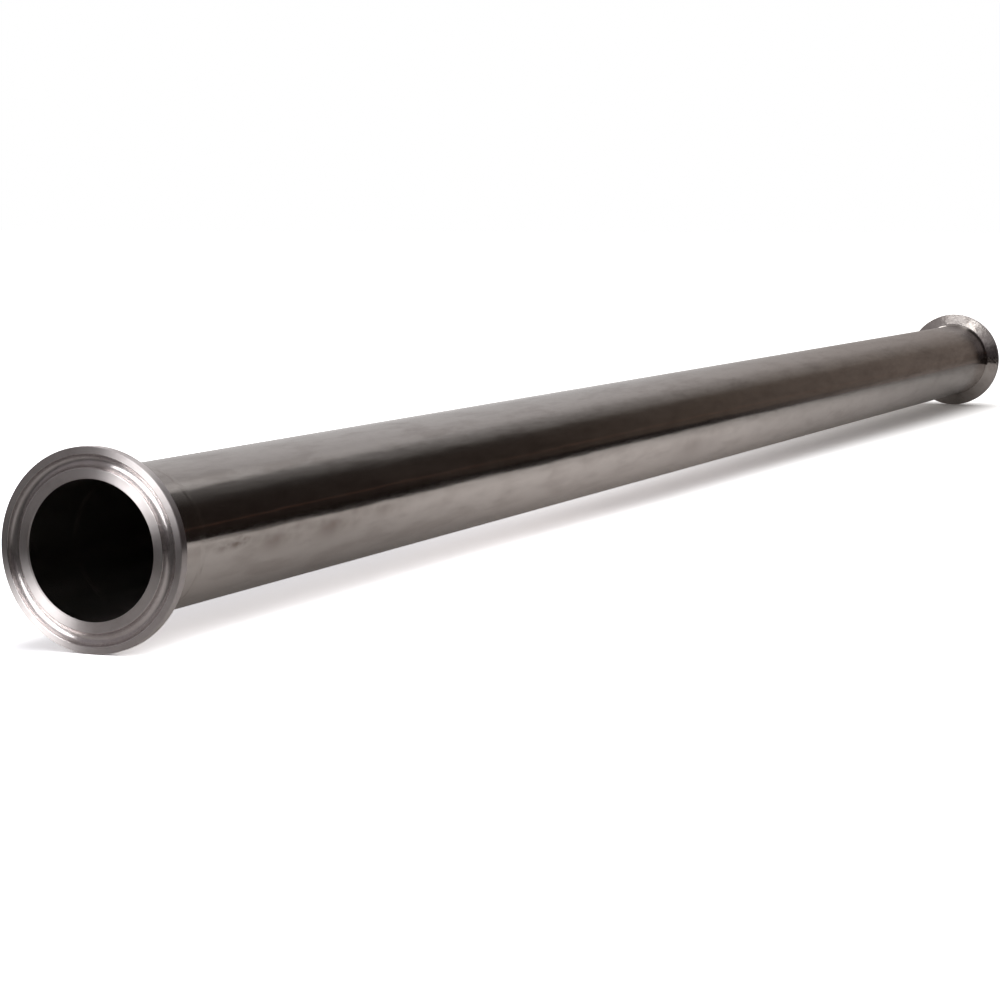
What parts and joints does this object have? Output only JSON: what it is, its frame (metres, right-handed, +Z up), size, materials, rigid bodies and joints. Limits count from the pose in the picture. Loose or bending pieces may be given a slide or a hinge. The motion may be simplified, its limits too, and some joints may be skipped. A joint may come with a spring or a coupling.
{
  "type": "sanitary spool pipe",
  "caption": "Straight stainless spool pipe: polished thin-wall tube with a grooved clamp ferrule welded to each end.",
  "frame": {"origin": "middle of the bore, halfway between the two sealing faces", "axes": "+X along the pipe from the near ferrule to the far ferrule, +Z up with the pipe lying on its two rims"},
  "size_m": [0.9144, 0.0504, 0.0506],
  "materials": {
    "polished_tube": "satin polished",
    "turned_ferrule": "fine turned",
    "dressed_weld": "ground flush and polished"
  },
  "bodies": {
    "root": {"tube": "polished_tube", "near_ferrule": "turned_ferrule", "far_ferrule": "turned_ferrule", "near_weld_seam": "dressed_weld", "far_weld_seam": "dressed_weld"}
  },
  "joints": []
}
